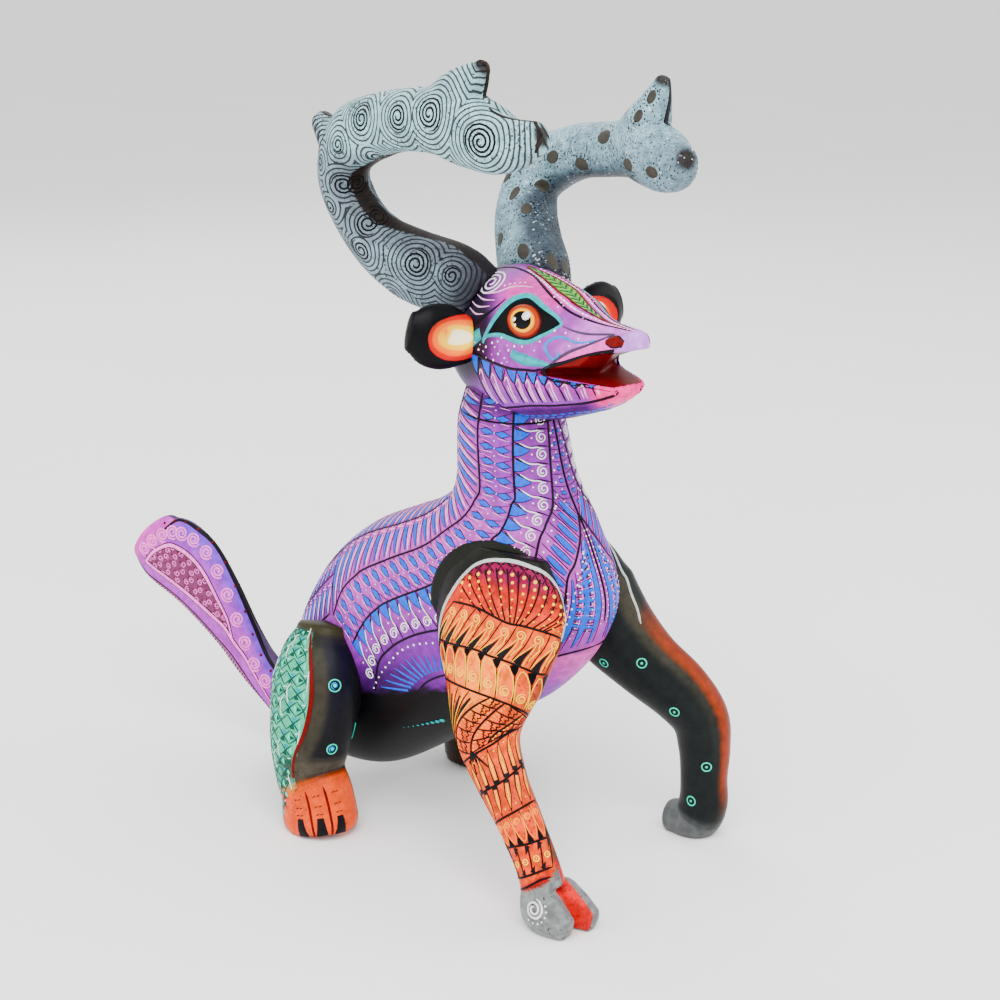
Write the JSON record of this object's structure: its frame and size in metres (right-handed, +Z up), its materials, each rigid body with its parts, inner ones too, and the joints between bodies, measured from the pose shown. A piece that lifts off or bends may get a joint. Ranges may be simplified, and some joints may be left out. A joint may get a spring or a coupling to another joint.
{
  "type": "carved wooden deer figure",
  "caption": "Painted carved wooden deer spirit sitting on its hind paws, head turned, with plug-in antlers, ears and tail, standing on flat soles.",
  "frame": {"origin": "middle of the bounding box's underside, on the plane that the soles stand on", "axes": "+Z up; the figure faces -Y; its left side is +X"},
  "size_m": [0.0968, 0.2223, 0.2412],
  "materials": {
    "body_paint": "satin acrylic paint on carved wood: lilac and violet with fine black, blue and white line work",
    "head_paint": "satin acrylic paint: pink and violet with fine dots, spirals and a dark ridge line",
    "antler_paint": "satin acrylic paint: speckled grey-mint with black spirals and flow lines",
    "ear_paint": "satin acrylic paint: black rim with a red, orange and yellow leaf inside",
    "tail_paint": "satin acrylic paint: violet edge with pink spirals round a dusty rose panel",
    "right_front_leg_paint": "satin acrylic paint: magenta to orange with black line work, grey hoof",
    "left_front_leg_paint": "satin acrylic paint: black with mint rings and a copper red edge",
    "hind_leg_paint": "satin acrylic paint: black and teal facets with mint rings, orange paws",
    "bare_wood": "bare dry copal wood, unpainted"
  },
  "bodies": {
    "figure": {"torso": "body_paint", "head": "head_paint", "neck_dowel": "bare_wood", "right_front_leg": "right_front_leg_paint", "right_front_leg_dowel": "bare_wood", "left_front_leg": "left_front_leg_paint", "left_front_leg_dowel": "bare_wood", "right_hind_leg": "hind_leg_paint", "right_hind_leg_dowel": "bare_wood", "left_hind_leg": "hind_leg_paint", "left_hind_leg_dowel": "bare_wood"},
    "right_antler_body": {"right_antler": "antler_paint", "right_antler_peg": "bare_wood"},
    "left_antler_body": {"left_antler": "antler_paint", "left_antler_peg": "bare_wood"},
    "right_ear_body": {"right_ear": "ear_paint", "right_ear_peg": "bare_wood"},
    "left_ear_body": {"left_ear": "ear_paint", "left_ear_peg": "bare_wood"},
    "tail_body": {"tail": "tail_paint", "tail_peg": "bare_wood"}
  },
  "joints": [
    {"name": "right_antler_pull", "type": "slide", "parent": "figure", "child": "right_antler_body", "axis": [-0.2663, 0.8681, 0.4189], "range_m": [0, 0.014]},
    {"name": "left_antler_pull", "type": "slide", "parent": "figure", "child": "left_antler_body", "axis": [0.525, 0.6147, 0.5887], "range_m": [0, 0.014]},
    {"name": "right_ear_pull", "type": "slide", "parent": "figure", "child": "right_ear_body", "axis": [-0.9367, 0.2714, 0.2211], "range_m": [0, 0.009]},
    {"name": "left_ear_pull", "type": "slide", "parent": "figure", "child": "left_ear_body", "axis": [0.9661, -0.133, 0.2211], "range_m": [0, 0.009]},
    {"name": "tail_pull", "type": "slide", "parent": "figure", "child": "tail_body", "axis": [-0.2391, 0.959, 0.1521], "range_m": [0, 0.018]}
  ]
}
